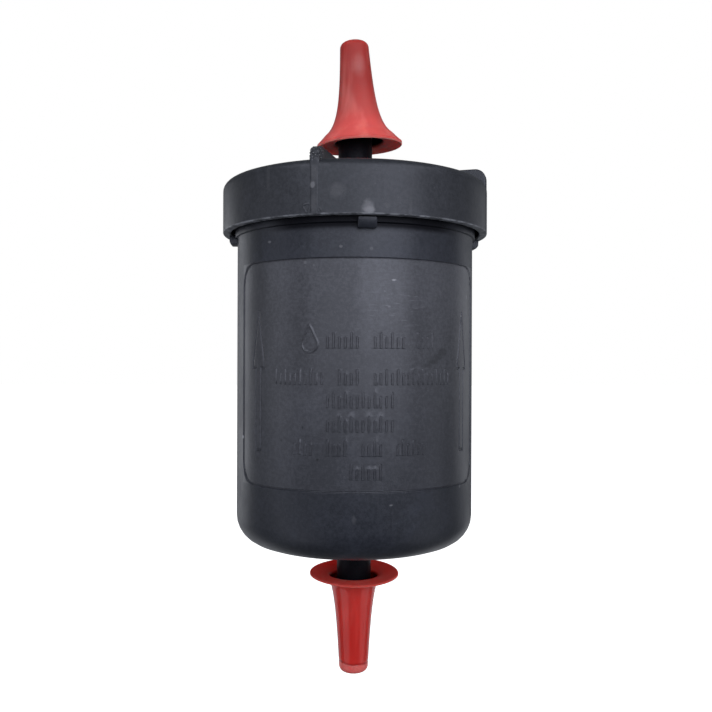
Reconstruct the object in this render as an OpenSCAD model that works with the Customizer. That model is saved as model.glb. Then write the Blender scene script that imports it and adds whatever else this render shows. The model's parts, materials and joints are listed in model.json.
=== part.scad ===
// In-line fuel filter: a moulded pot closed by a spin-welded lid, with a sealed pleated
// element inside and a soft tapered transport cap pushed onto the spigot at each end.
// +Z runs along the axis towards the lid and the outlet. -Y faces the front of the pot.
// The origin lies on the axis, inside the pot's plain wall, which the car's clamp holds.

/* [Pot] */
// Outer diameter of the pot, which is the clamp diameter
body_d = 55; // [52:0.5:57]
// Wall thickness of the pot
pot_wall = 2; // [1.6:0.1:2.4]
// Distance from the origin down to the flat bottom
body_bottom = 39; // [37:0.5:46]
// Radius of the rounded bottom corner
corner_r = 6.4; // [4:0.2:8]
// Thickness of the bottom
floor_t = 2.2; // [1.8:0.1:3]

/* [Lid] */
// Outer diameter of the lid's skirt
skirt_d = 61.9; // [61:0.1:64]
// Height of the skirt's lower edge above the origin
skirt_low = 32.2; // [31:0.1:34]
// Height of the lid's flat rim above the origin
lid_top = 43.7; // [43:0.1:46]
// Radius of the rounded edge of the lid's rim
rim_r = 1.9; // [1:0.1:2.5]
// Number of drive fins on the lid
fin_count = 4; // [3:1:6]
// Thickness of a drive fin
fin_t = 2.1; // [1.5:0.1:3]
// Height of the fins above the rim
fin_rise = 2.8; // [1:0.1:4]
// Heading of the first fin, counted from the front of the pot
fin_heading = -20.5; // [-45:0.5:45]

/* [Lugs] */
// Number of lugs under the skirt that hold the pot while the lid is spun on
lug_count = 4; // [2:1:8]
// Width of a lug
lug_w = 3.9; // [3:0.1:6]
// Height of a lug
lug_h = 2.1; // [1.5:0.1:2.2]
// Distance that a lug stands out from the pot
lug_out = 1.9; // [1:0.1:2.5]

/* [Spigots] */
// Outer diameter of both spigots
spigot_d = 8; // [7.5:0.01:8.1]
// Diameter of the fuel bore
bore_d = 4.6; // [3.5:0.1:5]
// Diameter at the end of the tapered nose
nose_d = 6.4; // [6:0.1:7]
// Length of the outlet spigot above the lid's rim
outlet_len = 22.3; // [20:0.1:24]
// Length of the tapered nose of the outlet spigot
outlet_nose = 6; // [5:0.1:7]
// Length of the inlet spigot below the bottom
inlet_len = 19.5; // [18:0.1:21]
// Length of the tapered nose of the inlet spigot
inlet_nose = 5.1; // [4.5:0.1:6]

/* [Filter element] */
// Outer diameter over the pleat tips
pleat_d = 45; // [42:0.5:45.5]
// Inner diameter at the pleat roots
pleat_root_d = 24; // [24:0.5:28]
// Number of pleats
pleats = 40; // [24:1:44]
// Thickness of the filter paper
paper_t = 0.45; // [0.3:0.05:0.5]
// Height of the pleated paper between the two end caps
pleat_h = 55; // [50:0.5:55]
// Outer diameter of the perforated core tube
core_d = 22.6; // [20:0.1:23]
// Wall of the core tube
core_wall = 1.2; // [0.8:0.1:1.6]

/* [Transport caps] */
// Diameter of the thin flange at the mouth of a cap
cap_flange_d = 21.6; // [18:0.1:24]
// Thickness of the flange at its edge
cap_lip = 0.4; // [0.3:0.05:0.6]
// Diameter of the opening in a cap's flange
cap_mouth_d = 11.2; // [11:0.1:12]
// Diameter of the cap's cone, carried down to the mouth
cap_throat_d = 9.1; // [8.9:0.1:9.6]
// Radius that the cone loses for each millimetre of length
cap_taper = 0.037; // [0.03:0.001:0.04]
// Wall thickness of a cap
cap_wall = 0.7; // [0.5:0.05:0.75]
// Thickness of the closed tip
cap_tip_t = 1; // [0.8:0.1:1.5]
// Radius of the rounded tip
cap_tip_r = 1.4; // [0.8:0.1:1.8]
// Length of the outlet cap
outlet_cap_len = 24.1; // [23:0.1:26]
// Length of the inlet cap
inlet_cap_len = 23.1; // [22:0.1:25]
// Height of the outlet cap's mouth above the lid's rim
outlet_cap_gap = 10.5; // [10:0.1:11]
// Distance of the inlet cap's mouth below the bottom
inlet_cap_gap = 8.2; // [8:0.1:9]
// Lean of the outlet cap, which sits slightly askew on its spigot
cap_lean = 3.2; // [0:0.1:3.5]

/* [Hidden] */
$fn = 96;
FRONT = -90;

body_r = body_d / 2;
pot_in_r = body_r - pot_wall;
bottom_z = -body_bottom;
floor_z = bottom_z + floor_t;
spigot_r = spigot_d / 2;
bore_r = bore_d / 2;
nose_r = nose_d / 2;
boss_r = 6.5;
boss_h = 1.2;

// The pot's plain wall ends below the lugs and widens a little up to the collar. The collar stands
// inside the skirt and carries the weld land
wall_top = skirt_low - 2.9;
wall_flare = 0.1;
collar_r = body_r + 0.6;
collar_low = skirt_low - 1.2;
pot_rim_z = skirt_low + 4.8;
weld_h = 1;
weld_z = pot_rim_z + weld_h;

skirt_r = skirt_d / 2;
skirt_in_r = collar_r + 0.9;
tongue_out_r = pot_in_r - 0.3;
tongue_in_r = tongue_out_r - 1.5;
tongue_low = weld_z - 3.5;
dish_r = 25.5;
dish_z = lid_top - 1.3;
plate_low = dish_z - 2.8;
lid_boss_r = 7.5;
fin_top = lid_top + fin_rise;
fin_corner_r = 2.5;

// The stub under the lid, which plugs the element's collar and carries the O-ring
stub_r = 6.5;
stub_low = 32.6;
groove_r = 5;
groove_low = 34.2;
groove_h = 2;
collar_in_r = stub_r + 0.3;

pleat_r = pleat_d / 2;
root_r = pleat_root_d / 2;
media_low = -29;
media_top = media_low + pleat_h;
potting_t = 1.5;
end_disc_t = 1.5;
end_disc_r = 23.8;
end_rim_t = 0.6;
end_rim_h = 4;
foot_r = 20;

cap_flare = (cap_flange_d - cap_throat_d) / 2;
cap_steps = 18;
tip_steps = 6;
// Each curve of a flare is its share of the flare and the length over which it fades
TRUMPET = [[0.66, 4.7], [0.34, 1.1]];
FLAT_FLANGE = [[0.25, 5.2], [0.75, 0.4]];
mouth_taper = 0.14;
lean_heading = 175;
lean_height = lid_top + 17.3;
lean_offset = 0.6;

// Points of an arc about [r, z], from angle a to angle b
function arc(r, z, radius, a, b, steps) =
    [for (i = [0:steps]) let (t = a + (b - a) * i / steps) [r + radius * cos(t), z + radius * sin(t)]];

function sum(list, i = 0) = i == len(list) ? 0 : list[i] + sum(list, i + 1);

// Outer and inner radius of a cap at distance s from its mouth
function cap_r(s, flare) =
    let (up = max(0, s - cap_lip))
    cap_throat_d / 2 - cap_taper * s + cap_flare * sum([for (c = flare) c[0] * exp(-up / c[1])]);
function cap_bore_r(s, flare) = min(cap_r(s, flare) - cap_wall, cap_mouth_d / 2 - mouth_taper * s);

// Outline of one pleat's side: half widths at the tip and at the root, as angles
function half_angle(width, r) = asin(width / r);
function pleat_points(tip_r, tip_w, valley_r, valley_w) =
    [for (i = [0:pleats - 1]) let (a = 360 * i / pleats, t = half_angle(tip_w, tip_r),
        v = 180 / pleats - half_angle(valley_w, valley_r))
        each [polar(valley_r, a - v), polar(tip_r, a - t), polar(tip_r, a + t), polar(valley_r, a + v)]];
function polar(r, a) = [r * cos(a), r * sin(a)];

module ring(r_out, r_in, low, high) {
    translate([0, 0, low]) difference() {
        cylinder(r = r_out, h = high - low);
        translate([0, 0, -1]) cylinder(r = r_in, h = high - low + 2);
    }
}

// Pot with its inlet spigot: one turned outline, with the lugs added below the skirt
module housing() color("#3a3d43") {
    end_z = bottom_z - inlet_len;
    union() {
        rotate_extrude() polygon(concat(
            [[bore_r, end_z], [nose_r, end_z], [spigot_r, end_z + inlet_nose]],
            [[spigot_r, bottom_z - boss_h - 1], [spigot_r + 1, bottom_z - boss_h]],
            [[boss_r, bottom_z - boss_h], [boss_r + 0.5, bottom_z]],
            arc(body_r - corner_r, bottom_z + corner_r, corner_r, -90, 0, 12),
            [[body_r, wall_top], [body_r + wall_flare, collar_low], [collar_r, collar_low + 0.1]],
            [[collar_r, pot_rim_z], [pot_in_r, pot_rim_z]],
            arc(body_r - corner_r, bottom_z + corner_r, corner_r - pot_wall, 0, -90, 8),
            [[boss_r, floor_z], [bore_r + 0.8, floor_z], [bore_r, floor_z - 0.8]]
        ));
        for (i = [0:lug_count - 1]) lug(FRONT + i * 360 / lug_count);
    }
}

module lug(heading) {
    lug_top = skirt_low - 0.3;
    lug_low = lug_top - lug_h;
    lug_chamfer = 0.6;
    in_r = body_r - 0.5;
    out_r = body_r + lug_out;
    rotate([0, 0, heading]) intersection() {
        translate([0, -lug_w / 2, lug_low]) cube([out_r + 1, lug_w, lug_h]);
        rotate_extrude() polygon([
            [in_r, lug_low], [out_r - lug_chamfer, lug_low], [out_r, lug_low + lug_chamfer],
            [out_r, lug_top], [in_r, lug_top]
        ]);
    }
}

// Lid with its skirt, outlet spigot, inner tongue and stub, and the drive fins on top
module lid() color("#40434a") {
    end_z = lid_top + outlet_len;
    union() {
        rotate_extrude() polygon(concat(
            [[bore_r, stub_low], [stub_r - 0.6, stub_low], [stub_r, stub_low + 0.6]],
            [[stub_r, groove_low], [groove_r, groove_low], [groove_r, groove_low + groove_h]],
            [[stub_r, groove_low + groove_h], [stub_r, plate_low], [tongue_in_r, plate_low]],
            [[tongue_in_r, tongue_low], [tongue_out_r - 0.5, tongue_low]],
            [[tongue_out_r, tongue_low + 0.8], [tongue_out_r, weld_z], [skirt_in_r, weld_z]],
            [[skirt_in_r, skirt_low + 0.4], [skirt_in_r + 0.4, skirt_low]],
            arc(skirt_r - 0.5, skirt_low + 0.5, 0.5, -90, 0, 4),
            arc(skirt_r - rim_r, lid_top - rim_r, rim_r, 0, 90, 8),
            [[dish_r + 0.8, lid_top], [dish_r, dish_z], [lid_boss_r, dish_z]],
            [[lid_boss_r, fin_top - 0.6], [lid_boss_r - 0.6, fin_top], [spigot_r + 1, fin_top]],
            [[spigot_r, fin_top + 1], [spigot_r, end_z - outlet_nose], [nose_r, end_z], [bore_r, end_z]]
        ));
        for (i = [0:fin_count - 1]) fin(FRONT + fin_heading + i * 360 / fin_count);
    }
}

module fin(heading) {
    fin_out = skirt_r - 0.05;
    base_z = dish_z - 1;
    rotate([0, 0, heading]) rotate([90, 0, 0]) translate([0, 0, -fin_t / 2])
        linear_extrude(height = fin_t) polygon(concat(
            [[lid_boss_r - 1, base_z], [fin_out - 3, base_z], [fin_out, lid_top - rim_r - 0.5]],
            arc(fin_out - fin_corner_r, fin_top - fin_corner_r, fin_corner_r, 0, 90, 8),
            [[lid_boss_r - 1, fin_top - 0.2]]
        ));
}

// Melted ring that joins the pot's rim to the lid, with its flash curled into the gap
module weld_bead() color("#2c2e33") {
    flash = 0.25;
    rotate_extrude() polygon([
        [pot_in_r + 0.1, pot_rim_z], [collar_r, pot_rim_z], [collar_r + flash, pot_rim_z + 0.2],
        [collar_r + 2 * flash, weld_z - 0.3], [collar_r + flash, weld_z], [pot_in_r + 0.1, weld_z]
    ]);
}

// Core tube that stops the paper from collapsing inwards, with rows of round windows
module core_tube() color("#c9c4b4") {
    window_r = 2.2;
    rows = 8;
    columns = 6;
    row_pitch = pleat_h / rows;
    difference() {
        ring(core_d / 2, core_d / 2 - core_wall, media_low, media_top);
        for (row = [0:rows - 1], column = [0:columns / 2 - 1])
            translate([0, 0, media_low + (row + 0.5) * row_pitch])
                rotate([0, 0, column * 360 / columns + (row % 2) * 180 / columns])
                    rotate([90, 0, 0]) cylinder(r = window_r, h = core_d + 2, center = true);
    }
}

// Filter paper folded into a star: one closed zigzag band of even thickness
module pleated_media() color("#d8c48c") {
    fold_w = paper_t + 0.02;
    outer = pleat_points(pleat_r, fold_w + paper_t / 2, root_r + paper_t, fold_w - paper_t / 2);
    inner = pleat_points(pleat_r - paper_t, fold_w - paper_t / 2, root_r, fold_w + paper_t / 2);
    translate([0, 0, media_low]) linear_extrude(height = pleat_h) difference() {
        polygon(outer);
        polygon(inner);
    }
}

// Folded steel strip that clamps the two ends of the paper together on the last pleat
module seam_clip() color("#a9adb2") {
    clip_w = 2.3;
    clip_t = 0.35;
    clip_depth = 3.6;
    clip_back = pleat_r + 0.6;
    clip_h = pleat_h - 4;
    translate([clip_back - clip_depth, -clip_w / 2, media_low + 2]) difference() {
        cube([clip_depth, clip_w, clip_h]);
        translate([-1, clip_t, -1]) cube([clip_depth + 1 - clip_t, clip_w - 2 * clip_t, clip_h + 2]);
    }
}

// Closed end cap below the paper, standing on four feet on the pot's floor
module lower_end_cap() color("#4a4a4a") {
    disc_top = media_low - potting_t;
    disc_low = disc_top - end_disc_t;
    foot_w = 3;
    union() {
        translate([0, 0, disc_low]) cylinder(r = end_disc_r, h = end_disc_t);
        ring(end_disc_r, end_disc_r - end_rim_t, disc_low, disc_low + end_rim_h);
        for (i = [0:3]) rotate([0, 0, 45 + i * 90])
            translate([foot_r - foot_w, -1, floor_z]) cube([foot_w, 2, disc_low - floor_z + 0.5]);
    }
}

// Open end cap above the paper, with the collar that slips over the lid's stub
module upper_end_cap() color("#4a4a4a") {
    disc_low = media_top + potting_t;
    disc_top = disc_low + end_disc_t;
    collar_top = 37.4;
    union() {
        ring(end_disc_r, collar_in_r, disc_low, disc_top);
        ring(end_disc_r, end_disc_r - end_rim_t, disc_top - end_rim_h, disc_top);
        ring(collar_in_r + 1.8, collar_in_r, disc_low, collar_top);
    }
}

module potting(low, inner_r) {
    if (inner_r > 0) ring(end_disc_r - end_rim_t, inner_r, low, low + potting_t);
    else translate([0, 0, low]) cylinder(r = end_disc_r - end_rim_t, h = potting_t);
}

// Adhesive that seals the folded ends of the paper into each end cap
module lower_potting() color("#e0b050") potting(media_low - potting_t, 0);
module upper_potting() color("#e0b050") potting(media_top, collar_in_r);

// O-ring between the lid's stub and the collar of the upper end cap
module outlet_o_ring() color("#202020") {
    cord_r = (collar_in_r - groove_r) / 2 - 0.02;
    translate([0, 0, groove_low + groove_h / 2]) rotate_extrude()
        translate([groove_r + cord_r + 0.02, 0]) circle(r = cord_r, $fn = 32);
}

// Transport cap: a thin cone with a flange round its mouth at z = 0 and a closed, rounded tip
module transport_cap(length, flare) {
    straight = length - cap_tip_r;
    tip_inner = length - cap_tip_t;
    steps = [for (i = [0:cap_steps]) cap_lip + (straight - cap_lip) * pow(i / cap_steps, 2)];
    tip_edge = cap_r(straight, flare) - cap_tip_r;
    rotate_extrude() polygon(concat(
        [[cap_mouth_d / 2, 0], [cap_r(0, flare), 0]],
        [for (s = steps) [cap_r(s, flare), s]],
        arc(tip_edge, straight, cap_tip_r, 15, 90, tip_steps),
        [[0, length], [0, tip_inner], [cap_bore_r(tip_inner, flare) - 0.4, tip_inner]],
        [for (i = [cap_steps:-1:0]) [cap_bore_r(steps[i], flare), steps[i]]]
    ));
}

module inlet_cap() color("#b2403c")
    translate([0, 0, bottom_z - inlet_cap_gap]) mirror([0, 0, 1]) transport_cap(inlet_cap_len, FLAT_FLANGE);

module outlet_cap() color("#b2403c")
    rotate([0, 0, lean_heading]) translate([-lean_offset, 0, lean_height]) rotate([0, cap_lean, 0])
        translate([0, 0, lid_top + outlet_cap_gap - lean_height]) transport_cap(outlet_cap_len, TRUMPET);

housing();
lid();
weld_bead();
core_tube();
pleated_media();
seam_clip();
lower_end_cap();
upper_end_cap();
lower_potting();
upper_potting();
outlet_o_ring();
inlet_cap();
outlet_cap();
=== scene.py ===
"""In-line fuel filter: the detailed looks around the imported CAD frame, in metres, +Z towards the outlet."""
import json
import math

import bmesh
import bpy
import numpy as np
from mathutils import Matrix, Vector, noise


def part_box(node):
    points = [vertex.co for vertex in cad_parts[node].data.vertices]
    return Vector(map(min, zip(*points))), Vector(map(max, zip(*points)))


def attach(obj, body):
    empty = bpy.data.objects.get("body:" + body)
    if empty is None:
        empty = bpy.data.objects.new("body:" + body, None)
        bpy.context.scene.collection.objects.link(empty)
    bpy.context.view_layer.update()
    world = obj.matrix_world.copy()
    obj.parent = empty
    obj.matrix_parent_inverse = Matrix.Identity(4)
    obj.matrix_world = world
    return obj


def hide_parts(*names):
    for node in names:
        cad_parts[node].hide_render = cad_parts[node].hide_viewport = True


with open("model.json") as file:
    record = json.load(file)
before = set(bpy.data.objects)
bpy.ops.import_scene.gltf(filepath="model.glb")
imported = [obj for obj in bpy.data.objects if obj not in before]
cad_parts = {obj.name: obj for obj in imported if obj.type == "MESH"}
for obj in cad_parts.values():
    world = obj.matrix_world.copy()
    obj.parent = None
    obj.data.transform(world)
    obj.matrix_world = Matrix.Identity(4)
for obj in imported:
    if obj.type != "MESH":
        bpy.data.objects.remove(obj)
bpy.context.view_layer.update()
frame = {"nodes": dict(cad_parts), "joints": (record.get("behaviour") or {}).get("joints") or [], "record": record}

MM = 0.001

# ---------------------------------------------------------------- driving sizes, from the frame
mounts = {m["name"]: m for m in frame["record"]["mounts"]}
joints = {j["name"]: j for j in frame["joints"]}
pot_low, pot_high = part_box("housing")
lid_low, lid_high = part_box("lid")
inlet_low, inlet_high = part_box("inlet_cap")

BODY_R = mounts["body_clamp"]["dims"]["r_mm"] * MM
SPIGOT_R = mounts["inlet_port"]["dims"]["r_mm"] * MM
SKIRT_R = lid_high.x
SKIRT_LOW = lid_low.z
LUG_OUT = pot_high.x
INLET_END = pot_low.z
OUTLET_END = lid_high.z
POT_RIM = pot_high.z

# Sizes that the CAD boxes don't give, the same as in the design
BOTTOM_Z = INLET_END + 19.5 * MM
CORNER_R = 6.4 * MM
WALL = 2.0 * MM
FLOOR_T = 2.2 * MM
BORE_R = 2.3 * MM
NOSE_R = 3.2 * MM
LID_TOP = OUTLET_END - 22.3 * MM
COLLAR_R = BODY_R + 0.6 * MM
COLLAR_LOW = SKIRT_LOW - 1.2 * MM
WALL_TOP = SKIRT_LOW - 2.9 * MM
FIN_TOP = LID_TOP + 2.8 * MM
FIN_T = 2.1 * MM
FIN_HEADING = math.radians(-20.5)
FIN_COUNT = 4
LUG_COUNT = 4
LUG_W = 3.9 * MM
LUG_H = 2.1 * MM
LUG_TOP = SKIRT_LOW - 0.3 * MM
QUARTER = math.pi / 2


# ---------------------------------------------------------------- mesh helpers
def rounded(outline, steps=5):
    """Points (r, z) of a closed outline whose corners (r, z, fillet) are rounded, in millimetres."""
    points = []
    count = len(outline)
    for i, (r, z, fillet) in enumerate(outline):
        here = np.array([r, z], float)
        if not fillet:
            points.append(here)
            continue
        before = np.array(outline[i - 1][:2], float) - here
        after = np.array(outline[(i + 1) % count][:2], float) - here
        u, v = before / np.linalg.norm(before), after / np.linalg.norm(after)
        half = math.acos(max(-1.0, min(1.0, float(u @ v)))) / 2
        reach = fillet / math.tan(half)
        centre = here + (u + v) / np.linalg.norm(u + v) * fillet / math.sin(half)
        a, b = here + u * reach - centre, here + v * reach - centre
        turn = math.atan2(a[0] * b[1] - a[1] * b[0], float(a @ b))
        for k in range(steps + 1):
            t = turn * k / steps
            c, s = math.cos(t), math.sin(t)
            points.append(centre + np.array([a[0] * c - a[1] * s, a[0] * s + a[1] * c]))
    return np.array(points)


def finished(name, verts, faces, sharp_deg=38):
    """A smooth-shaded mesh object with its sharp edges marked."""
    mesh = bpy.data.meshes.new(name)
    mesh.from_pydata(verts, [], faces)
    mesh.validate()
    mesh.update()
    shade(mesh, sharp_deg)
    obj = bpy.data.objects.new(name, mesh)
    bpy.context.scene.collection.objects.link(obj)
    return obj


def shade(mesh, sharp_deg):
    mesh.polygons.foreach_set("use_smooth", [True] * len(mesh.polygons))
    mesh.set_sharp_from_angle(angle=math.radians(sharp_deg))


def around(angle, r, z):
    """Point at a heading counted from the front (-Y) towards +X."""
    return r * np.sin(angle), -r * np.cos(angle), z


def revolve(name, profile, angles, relief=None, closed=True, sharp_deg=38, fine_rows=None, keep=None):
    """Turns a profile of (r, z) points, in metres, about Z. relief(angle, r, z) moves each point along r.
    A closed profile is a loop; an open one starts and ends on the axis. Rows where fine_rows is false
    have only the columns in keep."""
    angles = np.asarray(angles)
    body = profile if closed else profile[1:-1]
    every = np.arange(len(angles))
    verts, rows = [], []
    for i, (r, z) in enumerate(body):
        columns = every if fine_rows is None or fine_rows[i] else keep
        radius = np.full(len(columns), r)
        height = np.full(len(columns), z)
        if relief is not None:
            radius = radius + relief(angles[columns], radius, height)
        x, y, z = around(angles[columns], radius, height)
        rows.append((columns, len(verts)))
        verts += np.stack([x, y, z], -1).tolist()
    faces = []
    for low, high in zip(rows, rows[1:] + rows[:1] if closed else rows[1:]):
        faces += strip(low, high, len(angles))
    if not closed:
        first, last = len(verts), len(verts) + 1
        verts += [(0, 0, profile[0, 1]), (0, 0, profile[-1, 1])]
        count, end = len(angles), rows[-1][1]
        faces += [(first, k, (k + 1) % count) for k in range(count)]
        faces += [(last, end + (k + 1) % count, end + k) for k in range(count)]
    obj = finished(name, verts, faces, sharp_deg)
    outward(obj.data)
    return obj


def strip(low, high, around_count):
    """Faces between two rows of (columns, first vertex). Where one row has fewer columns, each of its
    edges takes one face that meets all the other row's points along it."""
    if len(low[0]) == len(high[0]):
        n = len(low[0])
        return [(low[1] + k, high[1] + k, high[1] + (k + 1) % n, low[1] + (k + 1) % n) for k in range(n)]
    coarse, fine = (low, high) if len(low[0]) < len(high[0]) else (high, low)
    n, faces = len(coarse[0]), []
    for k in range(n):
        c0, c1 = int(coarse[0][k]), int(coarse[0][(k + 1) % n])
        span = range(c0, c1 + 1 if c1 > c0 else c1 + around_count + 1)
        edge = [fine[1] + c % around_count for c in reversed(span)]
        faces.append((coarse[1] + k, coarse[1] + (k + 1) % n, *edge))
    return faces


def outward(mesh):
    work = bmesh.new()
    work.from_mesh(mesh)
    bmesh.ops.recalc_face_normals(work, faces=work.faces)
    work.to_mesh(mesh)
    work.free()


def applied(obj, sharp_deg=38):
    """Turns the object's modifiers into its mesh."""
    graph = bpy.context.evaluated_depsgraph_get()
    mesh = bpy.data.meshes.new_from_object(obj.evaluated_get(graph))
    old = obj.data
    obj.modifiers.clear()
    obj.data = mesh
    bpy.data.meshes.remove(old)
    shade(mesh, sharp_deg)
    return obj


def unite(obj, parts, sharp_deg=38):
    """Joins solid parts to obj with exact unions, and removes them."""
    for part in parts:
        cut = obj.modifiers.new("join", "BOOLEAN")
        cut.operation = "UNION"
        cut.solver = "MANIFOLD"
        cut.object = part
    applied(obj, sharp_deg)
    for part in parts:
        bpy.data.objects.remove(part)
    return obj


def prism(name, outline, thickness, bevel, heading, cuts=0, roughen=None):
    """A bevelled plate: an outline of (r, z) points in metres, standing on a radius at that heading. cuts
    divides it finely, and roughen(point) gives how far each point then moves."""
    work = bmesh.new()
    base = [work.verts.new((r, -thickness / 2, z)) for r, z in outline]
    face = work.faces.new(base)
    moved = bmesh.ops.extrude_face_region(work, geom=[face])["geom"]
    corners = [part for part in moved if isinstance(part, bmesh.types.BMVert)]
    bmesh.ops.translate(work, vec=(0, thickness, 0), verts=corners)
    bmesh.ops.recalc_face_normals(work, faces=work.faces)
    long_edges = [e for e in work.edges if abs(e.verts[0].co.y - e.verts[1].co.y) < 1e-9]
    bmesh.ops.bevel(work, geom=long_edges, offset=bevel, segments=3, affect="EDGES", profile=0.5)
    if cuts:
        bmesh.ops.triangulate(work, faces=work.faces)
        bmesh.ops.subdivide_edges(work, edges=work.edges, cuts=cuts, use_grid_fill=True)
    if roughen:
        for v in work.verts:
            v.co += roughen(v.co)
    turn = Matrix.Rotation(heading - QUARTER, 4, "Z")
    bmesh.ops.transform(work, matrix=turn, verts=work.verts)
    mesh = bpy.data.meshes.new(name)
    work.to_mesh(mesh)
    work.free()
    obj = bpy.data.objects.new(name, mesh)
    bpy.context.scene.collection.objects.link(obj)
    return obj


def samples(spans, closest):
    """Sorted values from (low, high, step) spans, none nearer to the one before than closest."""
    values = np.concatenate([np.arange(a, b + s / 2, s) for a, b, s in spans])
    kept = []
    for v in np.sort(values):
        if not kept or v - kept[-1] > closest:
            kept.append(v)
    return np.array(kept)


# ---------------------------------------------------------------- the marking panel's relief, in millimetres
PANEL_HALF_W = math.radians(68.5) * BODY_R / MM
PANEL_HALF_H = 24.0
PANEL_CORNER = 5.0
PANEL_DEPTH = 0.18
GROOVE_DEPTH = 0.12
GROOVE_HALF_W = 0.1
GROOVE_EDGE_W = 0.12
EDGE_W = 0.16
MARK_RISE = 0.2
ARROW_AT = math.radians(54) * BODY_R / MM
ARROW_TIP = 13.6
ARROW_NECK = 1.4
ARROW_FOOT = -16.5
ARROW_HALF_HEAD = 2.2
ARROW_HALF_SHAFT = 0.9
ARROW_DEPTH = 0.2
LINE_HALF_W = 0.18
TICK_PITCH = 1.225
TICK_HALF_W = 0.21
TICK_CORNER = 0.05
TICK_FOOT = -1.6
TICK_TOP = 1.6
SHORT_TOP = 0.7
# Rows of plain upright ticks, in groups, stand in for the lettering: the height of each row, and its
# places, counted from the middle, that hold a pair of ticks
TICK_ROWS = [
    (7.1, (-3, -2, -1, 1, 2, 3, 5, 6)),
    (-0.4, (-8, -7, -6, -5, -4, -2, -1, 1, 2, 3, 4, 5, 6, 7, 8)),
    (-5.1, (-3, -2, -1, 0, 1, 2)),
    (-10.0, (-3, -2, -1, 0, 1, 2)),
    (-14.9, (-6, -5, -3, -2, 0, 1, 3, 4, 5)),
    (-19.8, (-1, 0, 1)),
]
DROP_AT = (-11.9, 6.4)
DROP_R = 1.75
DROP_TIP = 3.9
# Spacing of the mesh lines: over the plain panel, at its border (which reaches BORDER_IN inwards), round
# its corners, along and across the arrows, at the drop, and the closest allowed
PANEL_STEP = 1.2
BORDER_STEP, BORDER_IN = 0.06, 0.36
CORNER_STEP = 0.35
ARROW_STEP, ARROW_FINE_STEP = 0.5, 0.13
DROP_STEP = 0.16
CLOSEST = 0.055


def ramp(distance, width):
    """1 inside, 0 outside, with a smooth edge; distance is negative inside."""
    t = np.clip(0.5 - distance / width, 0, 1)
    return t * t * (3 - 2 * t)


def box_distance(s, z, half_w, half_h, corner):
    """Distance to a rectangle with rounded corners, negative inside."""
    dx, dz = np.abs(s) - half_w + corner, np.abs(z) - half_h + corner
    outside = np.hypot(np.maximum(dx, 0), np.maximum(dz, 0))
    return outside + np.minimum(np.maximum(dx, dz), 0) - corner


def segment_distance(s, z, a, b):
    """Distance to the straight line from a to b."""
    ax, az = a
    dx, dz = b[0] - ax, b[1] - az
    t = np.clip(((s - ax) * dx + (z - az) * dz) / (dx * dx + dz * dz), 0, 1)
    return np.hypot(s - ax - t * dx, z - az - t * dz)


def arrow_distance(s, z):
    """Distance to the outline of an arrow that points up, centred on s = 0."""
    points = [
        (0, ARROW_TIP), (ARROW_HALF_HEAD, ARROW_NECK), (ARROW_HALF_SHAFT, ARROW_NECK),
        (ARROW_HALF_SHAFT, ARROW_FOOT), (-ARROW_HALF_SHAFT, ARROW_FOOT),
        (-ARROW_HALF_SHAFT, ARROW_NECK), (-ARROW_HALF_HEAD, ARROW_NECK),
    ]
    pairs = zip(points, points[1:] + points[:1])
    return np.minimum.reduce([segment_distance(s, z, a, b) for a, b in pairs])


def drop_distance(s, z):
    """Distance to the outline of a fuel drop: a round bottom under a straight-sided point."""
    s, z = s - DROP_AT[0], z - DROP_AT[1]
    lean = math.asin(DROP_R / DROP_TIP)
    shoulder = (DROP_R * math.cos(lean), DROP_R * math.sin(lean))
    ring = np.abs(np.hypot(s, z) - DROP_R)
    sides = segment_distance(np.abs(s), z, shoulder, (0, DROP_TIP))
    return np.where(z > shoulder[1], sides, ring)


def ticks(places, row):
    """Middle and top of each tick in a row, some of them tall. The whole row stands a place to the left."""
    found = []
    for number in (2 * place + k for place in places for k in (0, 1)):
        tall = (7 * number + 3 * row) % 5 < 2
        middle = (number + 0.5) * TICK_PITCH - TICK_PITCH
        found.append((middle, TICK_TOP if tall else SHORT_TOP))
    return found


def panel_relief(s, z):
    """Height over the pot's wall, at arc length s and height z: a shallow panel with a grooved border,
    raised marks and sunken arrows."""
    edge = box_distance(s, z, PANEL_HALF_W, PANEL_HALF_H, PANEL_CORNER)
    recess = ramp(edge, EDGE_W)
    groove = ramp(np.abs(edge + EDGE_W) - GROOVE_HALF_W, GROOVE_EDGE_W)
    marks = ramp(drop_distance(s, z) - LINE_HALF_W, EDGE_W)
    for row, (row_z, places) in enumerate(TICK_ROWS):
        for middle, top in ticks(places, row):
            half_h = (top - TICK_FOOT) / 2
            centre_z = z - row_z - TICK_FOOT - half_h
            tick = box_distance(s - middle, centre_z, TICK_HALF_W, half_h, TICK_CORNER)
            marks = np.maximum(marks, ramp(tick, EDGE_W))
    arrows = np.zeros_like(s)
    for side in (-1, 1):
        line = arrow_distance(s - side * ARROW_AT, z) - LINE_HALF_W
        arrows = np.maximum(arrows, ramp(line, EDGE_W))
    return (MARK_RISE * marks - ARROW_DEPTH * arrows - PANEL_DEPTH) * recess - GROOVE_DEPTH * groove


# ---------------------------------------------------------------- pot
def edge_lines(*edges):
    """Spans of a single mesh line, at each side of each edge's slope."""
    places = [edge + side * EDGE_W / 2 for edge in edges for side in (-1, 1)]
    return [(place, place, 1) for place in places]


def border_lines(half):
    """Spans of mesh lines for the panel's border and rounded corners."""
    spans = []
    for side in (-1, 1):
        spans.append((*sorted((side * (half + EDGE_W), side * (half - BORDER_IN))), BORDER_STEP))
        spans.append((*sorted((side * half, side * (half - PANEL_CORNER))), CORNER_STEP))
    return spans


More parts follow.
